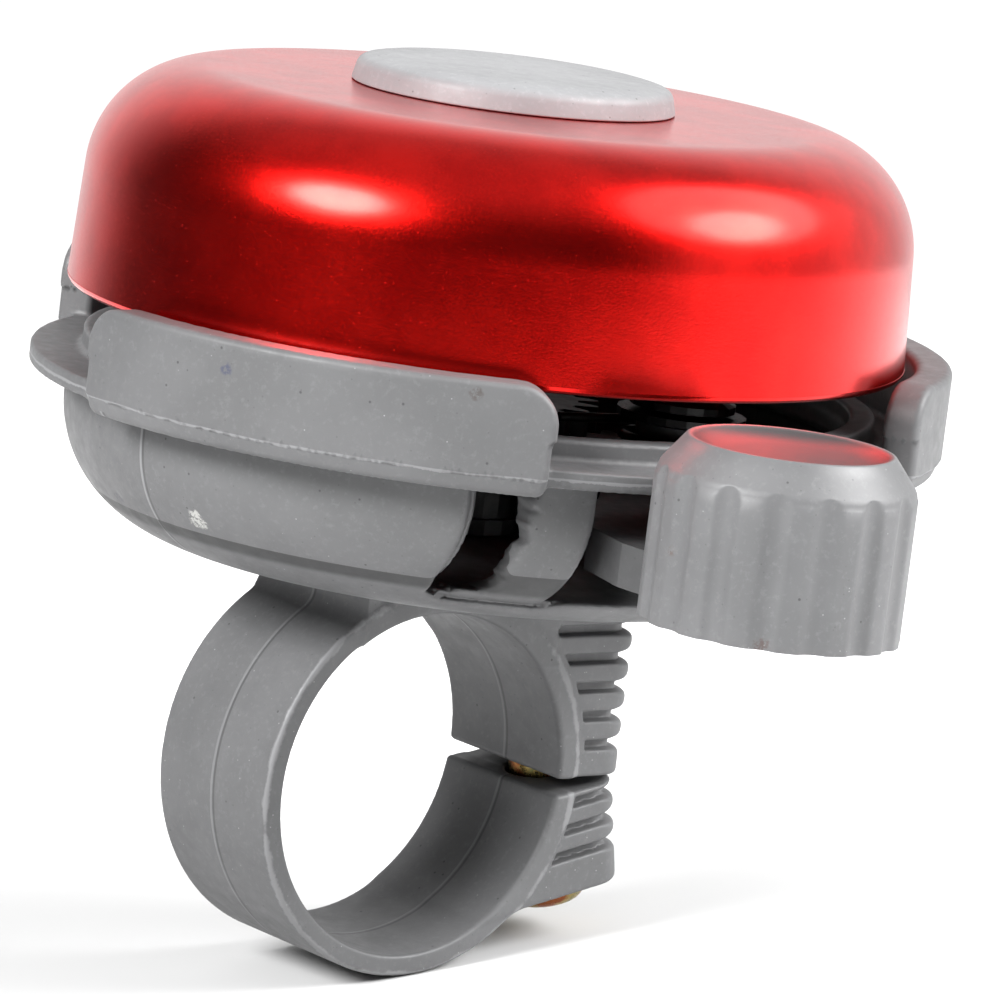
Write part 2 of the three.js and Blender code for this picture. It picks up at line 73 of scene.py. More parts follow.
MIDDLE_LINE_TOP = 24.2  # the line down the middle plane stops here
CAP_SEAM = 45.29
SCREW_HEAD_DROP = 0.7  # the screw's head starts this far below the lower ear
GEAR_MODULE = 0.8
TEETH = {"sector": 36, "pinion": 10, "wheel": 24, "rotor": 10}
KNOB = {"x": 38.4, "y": -6.6, "r": 8.2, "low": 18.2, "shoulder": 27.7, "high": 29.7, "flutes": 16}
SPRING = {"turns": 2.6, "r": 3.85, "low": 21.9, "rise": 0.75, "wire": 0.33}

# The camera: direction it looks from, its lean, its distance from the bell axis and its framing.
CAMERA = {"azimuth": 49.8, "elevation": 9.81, "roll": 7.0, "distance": 420.0, "lens": 226.7}
FRAMING = (-0.95, 11.87)
FLOOR_RADIUS = 300.0


def idler_place():
    """The idler meshes with both the lever's sector and the rotor's pinion."""
    from_axis = GEAR_MODULE * (TEETH["wheel"] + TEETH["rotor"]) / 2
    from_lever = GEAR_MODULE * (TEETH["sector"] + TEETH["pinion"]) / 2
    apart = math.hypot(LEVER["x"], LEVER["y"])
    cosine = (apart**2 + from_axis**2 - from_lever**2) / (2 * apart * from_axis)
    angle = math.atan2(LEVER["y"], LEVER["x"]) + math.acos(cosine)
    return {"x": from_axis * math.cos(angle), "y": from_axis * math.sin(angle)}


IDLER = idler_place()


# ---------------------------------------------------------------- shaped fields, in millimetres
def smooth_min(a, b, k):
    h = np.clip(0.5 + 0.5 * (b - a) / k, 0.0, 1.0)
    return b + (a - b) * h - k * h * (1.0 - h)


def smooth_max(a, b, k):
    return -smooth_min(-a, -b, k)


def cut(body, hole, k=0.3):
    return smooth_max(body, -hole, k)


def rectangle(u, v, half_u, half_v, corner):
    """Distance to a rectangle centred on the origin, with rounded corners."""
    qu = np.abs(u) - half_u + corner
    qv = np.abs(v) - half_v + corner
    outside = np.hypot(np.maximum(qu, 0), np.maximum(qv, 0))
    return outside + np.minimum(np.maximum(qu, qv), 0) - corner


def extrude(plan, off_middle, half, edge):
    """A plan's distance, given thickness along the third axis, with rounded edges."""
    u = plan + edge
    v = np.abs(off_middle) - half + edge
    return np.minimum(np.maximum(u, v), 0) + np.hypot(np.maximum(u, 0), np.maximum(v, 0)) - edge


def slab(x, low, high):
    return np.abs(x - (low + high) / 2) - (high - low) / 2


def block(x, y, z, xs, ys, zs):
    return np.maximum(np.maximum(slab(x, *xs), slab(y, *ys)), slab(z, *zs))


def vessel(r, z, radius, bottom, corner):
    """A round-cornered bowl's solid, open upwards without end."""
    u = r - (radius - corner)
    v = (bottom + corner) - z
    outside = np.hypot(np.maximum(u, 0), np.maximum(v, 0))
    return outside + np.minimum(np.maximum(u, v), 0) - corner


def fin_field(x, y, z, middle):
    """A guard fin with rounded upper corners and a stepped, tapered foot."""
    angle = np.arctan2(y, x) - math.radians(middle)
    angle = np.arctan2(np.sin(angle), np.cos(angle))
    r = np.hypot(x, y)
    mid_r = (FIN["inner"] + FIN["outer"]) / 2
    along = angle * mid_r
    half_span = math.radians(FIN["span"] / 2) * mid_r
    mid_z = (FIN["low"] + FIN["high"]) / 2
    up = z - mid_z
    half_up = (FIN["high"] - FIN["low"]) / 2
    top = rectangle(along, up, half_span, half_up, FIN["corner"])
    foot = rectangle(along, up, half_span - 0.25, half_up, 0.7)
    face = np.where(up > 0, top, foot)
    parting = (FLANGE["low"] + FLANGE["high"]) / 2
    below = np.clip(parting - z, 0, 2)
    thinner = np.where(z < parting, 0.14, 0.0) + 0.35 * below
    return extrude(face, r - mid_r + thinner / 2, (FIN["outer"] - FIN["inner"] - thinner) / 2, 0.45)


def gusset_field(x, y, z):
    """A rounded buttress behind the front fin's left end, standing on the flange."""
    angle = math.radians(FIN_ANGLES[0] - FIN["span"] / 2 + GUSSET["turn"])
    along = x - GUSSET["r"] * math.cos(angle)
    across = y - GUSSET["r"] * math.sin(angle)
    up = z - np.clip(z, GUSSET["low"], GUSSET["high"])
    return np.sqrt(along**2 + across**2 + up**2) - GUSSET["thick"]


def bowl_field(x, y, z):
    """The bowl with its floor, windows, flange, collar, fins and bosses."""
    y = y - BELL_Y
    r = np.hypot(x, y)
    body = vessel(r, z, BOWL["r"], BOWL["bottom"], BOWL["corner"])
    hollow = vessel(r, z, BOWL["inner"], BOWL["floor"], BOWL["inner_corner"])
    shell = smooth_max(np.maximum(body, z - PARTING_Z), -hollow, 0.3)
    half_y, half_z = RECESS["half_y"], RECESS["half_z"]
    face = rectangle(y - RECESS["y"], z - RECESS["z"], half_y, half_z, RECESS["corner"])
    recess = extrude(face, x - 27, 13, 0.3)
    shell = cut(shell, np.maximum(recess, -(body + RECESS["depth"])), 0.8)
    ragged = 0.17 * np.sin(1.7 * z + 0.5 * x) + 0.10 * np.sin(3.7 * z + 1.1) + 0.05 * np.sin(8.3 * z + x)
    for low, high in WINDOWS_Y:
        window = block(x, y, z, (WINDOW_X, 40), (low, high), (BOWL["floor"], 26.0))
        shell = cut(shell, window - np.where((y > -15) & (y < -11.6), ragged - 0.1, 0), 0.45)
    half_flange = (FLANGE["high"] - FLANGE["low"]) / 2
    mid_flange = (FLANGE["high"] + FLANGE["low"]) / 2
    flange_half = (FLANGE["r"] - COLLAR["inner"]) / 2
    flange = rectangle(r - FLANGE["r"] + flange_half, z - mid_flange, flange_half, half_flange, 0.2)
    collar_half = (COLLAR["outer"] - COLLAR["inner"]) / 2
    mid_collar = (FLANGE["low"] + COLLAR["top"]) / 2
    half_up = (COLLAR["top"] - FLANGE["low"]) / 2
    collar = rectangle(r - COLLAR["outer"] + collar_half, z - mid_collar, collar_half, half_up, 0.2)
    housing = smooth_min(smooth_min(shell, flange, 0.5), collar, 0.4)
    for middle in FIN_ANGLES:
        housing = smooth_min(housing, fin_field(x, y, z, middle), 0.35)
    housing = smooth_min(housing, gusset_field(x, y, z), 0.5)
    for spot, radius in ((LEVER, 3.4), (IDLER, 3.0)):
        reach = np.hypot(x - spot["x"], y - spot["y"])
        boss = np.maximum(reach - radius, slab(z, 15.5, LEVER["low"] - 0.3))
        pin = np.maximum(reach - 1.9, slab(z, 14.9, 30))
        housing = cut(smooth_min(housing, boss, 0.4), pin, 0.1)
    spigot = np.maximum(r - 2.8, slab(z, 12.4, 20))
    return cut(housing, spigot, 0.1)


def ear_plan(x, y, end, inset):
    """Plan distance to an ear, whose outer corners are rounded."""
    half = RING["half"] - inset
    corner = np.maximum(EAR["corner"] - inset, 0.4)
    middle = (end - inset) / 2
    outer = rectangle(x, y - middle, half, middle, corner)
    return np.where(y > 6, outer, np.abs(x) - half)


def ribbed_ear(x, y, z, low, high, end, groove, barrel):
    """An ear whose sides and end carry grip grooves. The ribs between them have round tips."""
    plan = ear_plan(x, y, end, 0.0)
    ear = extrude(plan, z - (low + high) / 2, (high - low) / 2, 0.35)
    core = ear_plan(x, y, end, EAR["depth"])
    for i in range(groove["count"]):
        middle = groove["first"] + groove["pitch"] * i + EAR["groove"] / 2
        off = np.abs(z - middle)
        outward = np.clip((y - end + 2.4) / 1.8, 0, 1)
        half = EAR["groove"] / 2 + 0.55 * outward * np.clip(plan + 0.75, 0, 0.8) ** 2
        hollow = np.maximum(np.maximum(off - half, -core), groove["start"] - barrel)
        ear = cut(ear, hollow, 0.22)
    return ear


def clamp_field(x, y, z):
    """The clamp ring with its saddle and two ears, filleted into the underside of the bowl."""
    barrel = np.hypot(y, z)
    wall = (RING["outer"] - RING["inner"]) / 2
    ring = rectangle(barrel - RING["outer"] + wall, x, wall, RING["half"], 0.3)
    saddle = block(x, y, z, (-RING["half"], RING["half"]), (-6.5, 10), (8, 15))
    upper = ribbed_ear(x, y, z, SLIT["high"], 16.0, EAR["end"], UPPER_GROOVES, barrel)
    tilt = math.radians(LOWER_EAR["tilt"])
    v = y * math.cos(tilt) + z * math.sin(tilt)
    w = z * math.cos(tilt) - y * math.sin(tilt)
    low, high, end = (LOWER_EAR[k] for k in ("bottom", "top", "end"))
    lower = ribbed_ear(x, v, w, low, high, end, LOWER_GROOVES, barrel)
    upper = np.maximum(upper, 3.5 - y)
    lower = np.maximum(lower, 3.5 - v)
    body = smooth_min(smooth_min(ring, saddle, 0.8), smooth_min(upper, lower, 0.05), 0.5)
    body = cut(body, barrel - RING["inner"], 0.35)
    slit_low = SLIT["low"] + 0.16 * np.clip(y - 12.0, 0, 5.5)
    slit = np.maximum(np.maximum(z - SLIT["high"], slit_low - z), 8 - y)
    body = cut(body, slit, 0.35)
    side = NUT["across"] / 2 + 0.3
    hole = np.maximum(np.hypot(x, v - SCREW["v"]) - SCREW["hole"], slab(w, -14, SCREW["tip"] + 0.3))
    across = (SCREW["v"] - side, SCREW["v"] + side)
    nut = block(x, v, w, (-9, 4.4), across, (NUT["low"] - 0.3, NUT["high"] + 0.3))
    body = cut(cut(body, hole, 0.2), nut, 0.3)
    bowl = vessel(np.hypot(x, y - BELL_Y), z, BOWL["r"], BOWL["bottom"], BOWL["corner"]) + 0.03
    joined = smooth_min(body, np.maximum(bowl, z - 15.4), 1.0)
    return smooth_max(np.maximum(joined, z - 15.2), body - 1.5, 0.2)


# ---------------------------------------------------------------- meshes
def slope(field, points, h=0.06):
    """The field's gradient at each point."""
    columns = []
    for axis in range(3):
        ahead = points.copy()
        behind = points.copy()
        ahead[:, axis] += h
        behind[:, axis] -= h
        columns.append((field(*ahead.T) - field(*behind.T)) / (2 * h))
    return np.stack(columns, 1)


def crossing_points(value, cells, low, step):
    """The mean of where each cell's edges cross the surface."""
    total = np.zeros((len(cells), 3))
    count = np.zeros(len(cells))
    for axis in range(3):
        for a in (0, 1):
            for b in (0, 1):
                start = np.zeros(3, int)
                start[(axis + 1) % 3] = a
                start[(axis + 2) % 3] = b
                end = start.copy()
                end[axis] = 1
                first = value[tuple((cells + start).T)]
                second = value[tuple((cells + end).T)]
                crossed = (first < 0) != (second < 0)
                share = first[crossed] / (first[crossed] - second[crossed])
                total[crossed] += start + share[:, None] * (end - start)
                count[crossed] += 1
    return low + step * (cells + total / count[:, None])


def crossing_quads(inside, number):
    """One quad round each grid edge that crosses the surface, facing outwards."""
    quads = []
    for axis in range(3):
        u, w = (axis + 1) % 3, (axis + 2) % 3
        first = inside.take(range(inside.shape[axis] - 1), axis)
        second = inside.take(range(1, inside.shape[axis]), axis)
        at = np.argwhere(first != second)
        at = at[(at[:, u] > 0) & (at[:, w] > 0)]
        at = at[(at[:, u] < inside.shape[u] - 1) & (at[:, w] < inside.shape[w] - 1)]
        corners = []
        for du, dw in ((0, 0), (-1, 0), (-1, -1), (0, -1)):
            cell = at.copy()
            cell[:, u] += du
            cell[:, w] += dw
            corners.append(number[tuple(cell.T)])
        quad = np.stack(corners, 1)
        outward = first[tuple(at.T)]
        quads.append(np.where(outward[:, None], quad, quad[:, ::-1]))
    return np.concatenate(quads)


def surface_net(name, field, low, high, step):
    """A smooth closed mesh of the surface where the field is zero."""
    low = np.array(low, float)
    axes = [np.arange(a, b + step, step) for a, b in zip(low, high)]
    value = field(*np.meshgrid(*axes, indexing="ij", sparse=True))
    inside = value < 0
    size = [n - 1 for n in inside.shape]
    corners = np.zeros(size, np.int8)
    for i in (0, 1):
        for j in (0, 1):
            for k in (0, 1):
                corners += inside[i : i + size[0], j : j + size[1], k : k + size[2]]
    mixed = (corners > 0) & (corners < 8)
    cells = np.argwhere(mixed)
    number = np.full(size, -1, np.int64)
    number[mixed] = np.arange(len(cells))
    points = crossing_points(value, cells, low, step)
    for _ in range(3):
        gradient = slope(field, points)
        steepness = np.maximum((gradient**2).sum(1), 0.05)
        move = gradient * (field(*points.T) / steepness)[:, None]
        points -= np.clip(move, -step / 2, step / 2)
    normals = slope(field, points)
    normals /= np.maximum(np.linalg.norm(normals, axis=1), 1e-6)[:, None]
    mesh = bpy.data.meshes.new(name)
    mesh.from_pydata((points * MM).tolist(), [], crossing_quads(inside, number).tolist())
    mesh.shade_smooth()
    mesh.normals_split_custom_set_from_vertices(normals.tolist())
    return link(name, mesh)


def link(name, data):
    piece = bpy.data.objects.new(name, data)
    bpy.context.scene.collection.objects.link(piece)
    return piece


def arc(cx, cz, radius, start, end, steps):
    """Points of an arc, with its angles in degrees."""
    turns = [math.radians(start + (end - start) * i / steps) for i in range(steps + 1)]
    return [(cx + radius * math.cos(t), cz + radius * math.sin(t)) for t in turns]


def rounded(corners, steps=5):
    """A profile through (radius, height, fillet) corners, with each fillet as a short arc."""
    path = []
    for i, (r, z, fillet) in enumerate(corners):
        if not fillet or i in (0, len(corners) - 1):
            path.append((r, z))
            continue
        here = Vector((r, z))
        back = Vector(corners[i - 1][:2]) - here
        ahead = Vector(corners[i + 1][:2]) - here
        reach = min(fillet, back.length * 0.48, ahead.length * 0.48)
        start = here + back.normalized() * reach
        end = here + ahead.normalized() * reach
        for s in range(steps + 1):
            t = s / steps
            point = start * (1 - t) ** 2 + here * (2 * t * (1 - t)) + end * t**2
            path.append((point.x, point.y))
    return path


def turned(name, profile, segments=128, centre=(0.0, BELL_Y), reshape=None, closed=False, sharp=35):
    """A profile of (radius, height) turned about a vertical axis. reshape(angle, r, z) gives the
    true radius where the piece isn't round."""
    mesh = bmesh.new()
    rings = []
    for r, z in profile:
        if r < 1e-6:
            rings.append([mesh.verts.new((centre[0] * MM, centre[1] * MM, z * MM))])
            continue
        ring = []
        for i in range(segments):
            angle = 2 * math.pi * i / segments
            radius = reshape(angle, r, z) if reshape else r
            x = centre[0] + radius * math.cos(angle)
            y = centre[1] + radius * math.sin(angle)
            ring.append(mesh.verts.new((x * MM, y * MM, z * MM)))
        rings.append(ring)
    pairs = list(zip(rings, rings[1:])) + ([(rings[-1], rings[0])] if closed else [])
    for below, above in pairs:
        for i in range(segments):
            j = (i + 1) % segments
            if len(below) == 1:
                mesh.faces.new((below[0], above[j], above[i]))
            elif len(above) == 1:
                mesh.faces.new((below[i], below[j], above[0]))
            else:
                mesh.faces.new((below[i], below[j], above[j], above[i]))
    bmesh.ops.recalc_face_normals(mesh, faces=mesh.faces)
    data = bpy.data.meshes.new(name)
    mesh.to_mesh(data)
    mesh.free()
    data.shade_smooth()
    data.set_sharp_from_angle(angle=math.radians(sharp))
    return link(name, data)


def softened_copy(name, node, width, sharp=32):
    """A CAD node's shape with its flat faces merged and its edges rounded."""
    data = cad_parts[node].data.copy()
    data.name = name
    data.materials.clear()
    mesh = bmesh.new()
    mesh.from_mesh(data)
    bmesh.ops.remove_doubles(mesh, verts=mesh.verts, dist=1e-6)
    bmesh.ops.dissolve_limit(mesh, angle_limit=0.02, verts=mesh.verts, edges=mesh.edges)
    mesh.to_mesh(data)
    mesh.free()
    piece = link(name, data)
    bevel = piece.modifiers.new("edges", "BEVEL")
    bevel.width = width * MM
    bevel.segments = 3
    bevel.limit_method = "ANGLE"
    bevel.angle_limit = math.radians(sharp)
    bevel.use_clamp_overlap = True
    data.shade_smooth()
    data.set_sharp_from_angle(angle=math.radians(sharp))
    return piece


# ---------------------------------------------------------------- materials
class Shader:
    """A small builder for node-based materials. Positions in it are millimetres in the frame."""

    def __init__(self, name):
        self.material = bpy.data.materials.new(name)
        self.material.use_nodes = True
        self.tree = self.material.node_tree
        self.surface = self.tree.nodes["Principled BSDF"]
        place = self.add("ShaderNodeTexCoord").outputs["Object"]
        scale = self.add("ShaderNodeVectorMath", operation="SCALE")
        self.link(place, scale.inputs[0])
        scale.inputs["Scale"].default_value = 1 / MM
        self.place = scale.outputs["Vector"]
        parts = self.add("ShaderNodeSeparateXYZ")
        self.link(self.place, parts.inputs[0])
        self.x, self.y, self.z = parts.outputs

    def add(self, kind, **settings):
        node = self.tree.nodes.new(kind)
        for key, value in settings.items():
            setattr(node, key, value)
        return node

    def link(self, source, target):
        if isinstance(source, (int, float, tuple)):
            target.default_value = source
        else:
            self.tree.links.new(source, target)

    def math(self, operation, *values):
        node = self.add("ShaderNodeMath", operation=operation)
        for value, socket in zip(values, node.inputs):
            self.link(value, socket)
        return node.outputs[0]

    def near(self, value, target, half, soft):
        """1 where the value is within half of the target, falling to 0 over soft."""
        off = self.math("ABSOLUTE", self.math("SUBTRACT", value, target))
        return self.ramp(off, half + soft, half)

    def ramp(self, value, low, high):
        """Smoothly from 0 at low to 1 at high."""
        node = self.add("ShaderNodeMapRange", interpolation_type="SMOOTHSTEP")
        self.link(value, node.inputs["Value"])
        node.inputs["From Min"].default_value = low
        node.inputs["From Max"].default_value = high
        return node.outputs[0]

    def range(self, value, low, high, to_low, to_high):
        node = self.add("ShaderNodeMapRange")
        for source, key in ((value, "Value"), (low, "From Min"), (high, "From Max")):
            self.link(source, node.inputs[key])
        node.inputs["To Min"].default_value = to_low
        node.inputs["To Max"].default_value = to_high
        return node.outputs[0]

    def noise(self, scale, detail=3.0, roughness=0.55, vector=None):
        node = self.add("ShaderNodeTexNoise")
        self.link(vector or self.place, node.inputs["Vector"])
        node.inputs["Scale"].default_value = scale
        node.inputs["Detail"].default_value = detail
        node.inputs["Roughness"].default_value = roughness
        return node.outputs["Fac"]

    def specks(self, scale, size, share):
        """Small round spots, in only some cells of a scattered grid."""
        node = self.add("ShaderNodeTexVoronoi")
        self.link(self.place, node.inputs["Vector"])
        node.inputs["Scale"].default_value = scale
        spot = self.ramp(node.outputs["Distance"], size, size * 0.45)
        colour = self.add("ShaderNodeSeparateColor")
        self.link(node.outputs["Color"], colour.inputs[0])
        chosen = self.math("LESS_THAN", colour.outputs[0], share)
        return self.math("MULTIPLY", spot, chosen)

    def spot(self, centre, radius, soft):
        """A ragged round mark centred on a place on the surface."""
        node = self.add("ShaderNodeVectorMath", operation="DISTANCE")
        self.link(self.place, node.inputs[0])
        node.inputs[1].default_value = centre
        ragged = self.range(self.noise(1.7), 0.3, 0.7, -radius * 0.6, radius * 0.6)
        return self.ramp(self.math("ADD", node.outputs["Value"], ragged), radius + soft, radius)

    def mix(self, share, first, second):
        node = self.add("ShaderNodeMix", data_type="RGBA")
        self.link(share, node.inputs[0])
        self.link(first, node.inputs[6])
        self.link(second, node.inputs[7])
        return node.outputs[2]

    def bump(self, height, strength, distance):
        node = self.add("ShaderNodeBump")
        node.inputs["Strength"].default_value = strength
        node.inputs["Distance"].default_value = distance * MM
        self.link(height, node.inputs["Height"])
        return node.outputs["Normal"]

    def set(self, **values):
        for key, value in values.items():
            self.link(value, self.surface.inputs[key.replace("_", " ")])
        return self.material


def grey(value):
    """A very slightly blue grey."""
    return (value, value * 1.005, value * 1.03, 1.0)


# Specks in the plastic: cells a millimetre, size in cells, share of cells, strength, tone.
SPECKS = (
    (1.3, 0.150, 0.16, 0.75, 0.025),
    (2.2, 0.170, 0.20, 0.40, 0.045),
    (1.7, 0.110, 0.10, 0.60, 0.330),
)


def moulded_plastic(name, tone, lines=None, shade=None, gloss=None, marks=()):
    """Satin moulded plastic: cloudy tone, fine grain, specks, scuffs, any parting lines and painted
    highlight, and any painted shade.
    """
    s = Shader(name)
    clouds = s.noise(0.12, 4.0)
    colour = s.mix(s.ramp(clouds, 0.3, 0.7), grey(tone * 0.90), grey(tone * 1.08))
    fine = s.noise(2.2, 5.0, 0.7)
    colour = s.mix(s.math("MULTIPLY", s.ramp(fine, 0.50, 0.72), 0.45), colour, grey(tone * 1.45))
    for scale, size, share, strength, speck in SPECKS:
        colour = s.mix(s.math("MULTIPLY", s.specks(scale, size, share), strength), colour, grey(speck))
    height = s.math("MULTIPLY", s.noise(5.0, 4.0, 0.6), 0.5)
    for centre, radius, tint in marks:
        crumbs = s.ramp(s.noise(3.5, 4.0, 0.7), 0.40, 0.56)
        share = s.math("MULTIPLY", s.spot(centre, radius, 0.3), s.math("MULTIPLY", crumbs, 0.8))
        colour = s.mix(share, colour, tint)
    # The lines are painted lighter; for the base they include a painted highlight on the ring's edge.
    if lines:
        line = lines(s)
        colour = s.mix(s.math("MULTIPLY", line, 0.75), colour, grey(tone * 2.0))
        height = s.math("ADD", height, s.math("MULTIPLY", line, 3.0))
    # Painted shade: where the shade mask is, the colour is darkened.
    if shade:
        colour = s.mix(s.math("MULTIPLY", shade(s), 0.85), colour, grey(tone * 0.2))
    normal = s.bump(height, 0.22, 0.05)
    rough = s.range(s.noise(0.9, 4.0), 0.3, 0.7, 0.46, 0.60)
    if gloss:
        rough = gloss(s, rough)
    return s.set(Base_Color=colour, Roughness=rough, Normal=normal)


def hypotenuse(s, a, b):
    return s.math("SQRT", s.math("ADD", s.math("POWER", a, 2.0), s.math("POWER", b, 2.0)))


def from_post(s):
    """Distance from the bell's upright middle line."""
    return hypotenuse(s, s.x, s.math("SUBTRACT", s.y, BELL_Y))


def base_lines_and_highlight(s):
    """Moulding lines of the base: along the flange and fins and down the middle plane; and a painted
    highlight, light and ragged, along the clamp ring's +X outer edge."""
    r = from_post(s)
    wander = s.range(s.noise(0.45, 5.0, 0.65), 0.3, 0.7, -0.08, 0.08)
    thick = s.range(s.noise(0.9, 5.0, 0.7), 0.42, 0.75, 0.0, 0.09)
    off = s.math("ABSOLUTE", s.math("SUBTRACT", s.math("ADD", s.z, wander), PARTING_Z))
    flash = s.ramp(s.math("SUBTRACT", off, thick), 0.09, 0.02)
    flash = s.math("MULTIPLY", flash, s.math("GREATER_THAN", r, 29.6))
    middle = s.ramp(s.math("ABSOLUTE", s.math("ADD", s.x, s.math("MULTIPLY", wander, 0.4))), 0.15, 0.05)
    middle = s.math("MULTIPLY", middle, s.math("LESS_THAN", s.z, MIDDLE_LINE_TOP))
    # Painted highlight: a light ragged line along the ring's +X outer edge.
    from_rim = s.math("SUBTRACT", hypotenuse(s, s.y, s.z), RING["outer"] - 0.05)
    from_side = s.math("SUBTRACT", s.x, RING["half"] - 0.05)
    edge = hypotenuse(s, from_rim, from_side)
    edge = s.ramp(s.math("ADD", edge, s.math("MULTIPLY", wander, 2.5)), 0.32, 0.12)
    middle = s.math("MULTIPLY", middle, s.range(s.z, 11.0, 15.0, 0.6, 1.1))
    return s.math("MAXIMUM", s.math("MAXIMUM", flash, edge), middle)


def base_shade(s):
    """Painted shade: a painted shadow beside the line down the middle plane, and painted shade over the
    inside of the bowl.
    """
    below = s.math("LESS_THAN", s.z, MIDDLE_LINE_TOP)
    beside = s.math("MULTIPLY", s.near(s.x, 0.24, 0.05, 0.10), below)
    # Painted shade over the inside of the bowl.
    within = s.math("LESS_THAN", from_post(s), BOWL["inner"] + 0.1)
    within = s.math("MULTIPLY", within, s.near(s.z, 20.3, 3.8, 0.5))
    return s.math("MAXIMUM", s.math("MULTIPLY", beside, 0.6), within)


def knob_dish_shade(s):
    """The knob's dished top is painted darker than its sides: painted shade."""
    x = s.math("SUBTRACT", s.x, KNOB["x"])
    y = s.math("SUBTRACT", s.y, BELL_Y + KNOB["y"])
    dish = s.ramp(hypotenuse(s, x, y), 6.5, 5.9)
    return s.math("MULTIPLY", dish, s.math("GREATER_THAN", s.z, 28.0))


def knob_gloss(s, rough):
    """The knob's dished top is polished."""
    return s.range(s.ramp(s.z, 28.7, 29.4), 0.0, 1.0, 0.50, 0.38)


def anodised(name):
    """Red anodising over turned aluminium: deep metallic red under a clear, faintly grained film."""
    s = Shader(name)
    angle = s.math("ARCTAN2", s.math("SUBTRACT", s.y, BELL_Y), s.x)
    lines = s.add("ShaderNodeCombineXYZ")
    s.link(s.math("MULTIPLY", angle, 9.0), lines.inputs[0])
    s.link(s.math("MULTIPLY", from_post(s), 7.0), lines.inputs[1])
    s.link(s.math("MULTIPLY", s.z, 7.0), lines.inputs[2])
    turning = s.noise(1.0, 4.0, 0.6, lines.outputs[0])
    grain = s.noise(7.0, 3.0, 0.7)
    cloud = s.noise(0.18, 4.0)
    deep, bright = (0.56, 0.003, 0.002, 1.0), (0.76, 0.008, 0.005, 1.0)
    patchy = s.math("ADD", s.math("MULTIPLY", cloud, 0.7), s.math("MULTIPLY", grain, 0.3))
    colour = s.mix(s.ramp(patchy, 0.35, 0.65), deep, bright)
    colour = s.mix(s.specks(0.22, 0.05, 0.25), colour, (0.16, 0.002, 0.002, 1.0))
    height = s.math("ADD", s.math("MULTIPLY", turning, 0.06), s.math("MULTIPLY", grain, 0.55))
    normal = s.bump(height, 0.34, 0.03)
    rough = s.range(s.math("ADD", grain, s.math("MULTIPLY", turning, 0.3)), 0.4, 0.9, 0.19, 0.28)
    return s.set(
        Base_Color=colour,
        Metallic=1.0,
        Roughness=rough,
        Normal=normal,
        Coat_Weight=0.22,
        Coat_Roughness=0.17,
        Coat_IOR=1.5,
    )


def metal(name, tone, rough):
    """Bare metal with fine scratches and duller patches."""
    s = Shader(name)
    patches = s.noise(0.5, 4.0)
    dull = (tone * 0.72, tone * 0.72, tone * 0.72, 1.0)
    clean = (tone, tone, tone, 1.0)
    colour = s.mix(s.ramp(patches, 0.35, 0.65), dull, clean)
    scratches = s.noise(6.0, 5.0, 0.7)
    return s.set(
        Base_Color=colour,
        Metallic=1.0,
        Roughness=s.range(scratches, 0.3, 0.7, rough - 0.08, rough + 0.14),
        Normal=s.bump(scratches, 0.2, 0.03),
    )


def zinc(name):
    """Yellow zinc plating, which shades from straw to red-gold and green."""
    s = Shader(name)
    straw, red, green = (0.34, 0.25, 0.09, 1.0), (0.26, 0.08, 0.03, 1.0), (0.17, 0.20, 0.08, 1.0)
    tint = s.noise(0.55, 3.0)
    colour = s.mix(s.ramp(tint, 0.50, 0.62), straw, red)
    colour = s.mix(s.ramp(tint, 0.48, 0.36), colour, green)
    return s.set(
        Base_Color=colour,
        Metallic=1.0,
        Roughness=s.range(s.noise(4.0), 0.3, 0.7, 0.22, 0.38),
        Normal=s.bump(s.noise(6.0), 0.15, 0.03),
    )


def on_wall(r, angle, z, x=0.0, y=0.0):
    """A place on a round upright wall. Its axis is measured from the bell's, its angle in degrees."""
    turn = math.radians(angle)
    return (x + r * math.cos(turn), BELL_Y + y + r * math.sin(turn), z)


def on_bowl(angle, z):
    """A place on the round corner below the bowl's side."""
    drop = BOWL["bottom"] + BOWL["corner"] - z
    reach = math.sqrt(BOWL["corner"] ** 2 - drop**2)
    return on_wall(BOWL["r"] - BOWL["corner"] + reach, angle, z)


# Scuffs: place, radius and colour.
SCUFFS = (
    (on_bowl(-80, 18.0), 0.50, (0.42, 0.42, 0.40, 1.0)),
    (on_wall(FIN["outer"], -70, 29.0), 0.22, (0.04, 0.045, 0.08, 1.0)),
    (on_bowl(-100, 17.5), 0.45, (0.05, 0.05, 0.06, 1.0)),
    (on_wall(FIN["outer"], -40, 30.0), 0.22, (0.06, 0.05, 0.045, 1.0)),
)
KNOB_SCUFFS = (
    (on_wall(KNOB["r"], -45, 18.5, KNOB["x"], KNOB["y"]), 0.30, (0.07, 0.045, 0.04, 1.0)),
    (on_wall(KNOB["r"], -95, 23.0, KNOB["x"], KNOB["y"]), 0.12, (0.08, 0.05, 0.04, 1.0)),
)
MATERIALS = {
    "grey_plastic": moulded_plastic("moulded_grey", 0.100, base_lines_and_highlight, base_shade, marks=SCUFFS),
    # The lever arm: the base's grey plastic at half its tone, as painted shade.
    "lever_plastic_shaded": moulded_plastic("lever_grey_shaded", 0.05),
    # The knob's dish gets painted shade.
    "knob_plastic": moulded_plastic(
        "knob_grey", 0.112, shade=knob_dish_shade, gloss=knob_gloss, marks=KNOB_SCUFFS
    ),
    # The cap: the same grey plastic at about twice the tone, as painted light on its top.
    "cap_plastic": moulded_plastic("cap_grey_lit", 0.205),
    # Black acetal, darkened further as painted shade inside the bell.
    "dark_plastic": moulded_plastic("dark_acetal_shaded", 0.010),
    "red_anodised": anodised("red_anodised_film"),
    # Steel painted nearly black: painted shade inside the bell.
    "steel": metal("steel_painted_dark", 0.045, 0.45),
    "yellow_zinc": zinc("yellow_zinc_plate"),
}


